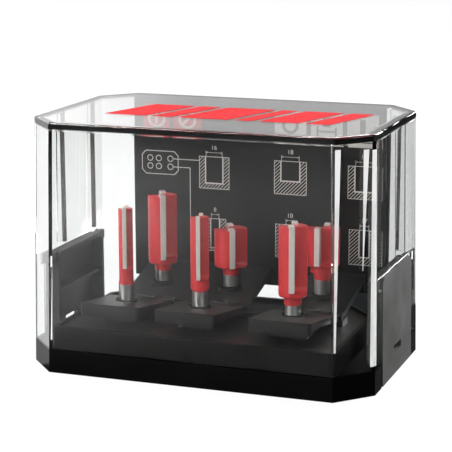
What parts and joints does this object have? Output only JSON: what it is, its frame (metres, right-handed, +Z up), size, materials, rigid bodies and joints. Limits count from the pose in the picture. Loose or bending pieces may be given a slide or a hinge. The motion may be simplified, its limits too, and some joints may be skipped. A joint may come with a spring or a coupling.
{
  "type": "router bit case",
  "caption": "Free-standing case for straight router bits: a black base with a sloping socket rack, a card behind the bits and a lift-off clear cover held by end latches.",
  "frame": {"origin": "centre of the base's underside, where the case stands", "axes": "+X along the case to its right end, +Y to its back, +Z up"},
  "size_m": [0.181, 0.1168, 0.1264],
  "materials": {
    "gloss_black": "glossy moulded black",
    "satin_black": "satin moulded black",
    "card_charcoal": "printed charcoal card, satin",
    "clear_acrylic": "clear, polished",
    "soft_black": "soft matte black",
    "red_coated_steel": "red coating on the head, bare ground shank",
    "carbide": "ground grey carbide"
  },
  "bodies": {
    "case": {"base_tray": "gloss_black", "bit_rack": "satin_black", "info_card": "card_charcoal", "socket_sleeve_8": "soft_black", "socket_sleeve_10": "soft_black", "socket_sleeve_15": "soft_black", "socket_sleeve_16": "soft_black", "socket_sleeve_18": "soft_black", "socket_sleeve_17": "soft_black"},
    "cover": {"clear_cover": "clear_acrylic"},
    "left_latch": {"left_latch": "satin_black"},
    "right_latch": {"right_latch": "satin_black"},
    "bit_8": {"bit_8_body": "red_coated_steel", "bit_8_blades": "carbide"},
    "bit_10": {"bit_10_body": "red_coated_steel", "bit_10_blades": "carbide"},
    "bit_15": {"bit_15_body": "red_coated_steel", "bit_15_blades": "carbide"},
    "bit_16": {"bit_16_body": "red_coated_steel", "bit_16_blades": "carbide"},
    "bit_18": {"bit_18_body": "red_coated_steel", "bit_18_blades": "carbide"},
    "bit_17": {"bit_17_body": "red_coated_steel", "bit_17_blades": "carbide"}
  },
  "joints": [
    {"name": "cover_lift", "type": "slide", "parent": "case", "child": "cover", "axis": [0, 0, 1], "range_m": [0, 0.115]},
    {"name": "right_latch_press", "type": "hinge", "parent": "case", "child": "right_latch", "pos_m": [0.086, 0, 0.006], "axis": [0, -1, 0], "range_deg": [0, 5], "stiffness_Nm_per_rad": 2},
    {"name": "left_latch_press", "type": "hinge", "parent": "case", "child": "left_latch", "pos_m": [-0.086, 0, 0.006], "axis": [0, 1, 0], "range_deg": [0, 5], "stiffness_Nm_per_rad": 2},
    {"name": "bit_8_lift", "type": "slide", "parent": "case", "child": "bit_8", "axis": [0, 0, 1], "range_m": [0, 0.027]},
    {"name": "bit_10_lift", "type": "slide", "parent": "case", "child": "bit_10", "axis": [0, 0, 1], "range_m": [0, 0.027]},
    {"name": "bit_15_lift", "type": "slide", "parent": "case", "child": "bit_15", "axis": [0, 0, 1], "range_m": [0, 0.027]},
    {"name": "bit_16_lift", "type": "slide", "parent": "case", "child": "bit_16", "axis": [0, 0, 1], "range_m": [0, 0.027]},
    {"name": "bit_18_lift", "type": "slide", "parent": "case", "child": "bit_18", "axis": [0, 0, 1], "range_m": [0, 0.027]},
    {"name": "bit_17_lift", "type": "slide", "parent": "case", "child": "bit_17", "axis": [0, 0, 1], "range_m": [0, 0.027]}
  ]
}
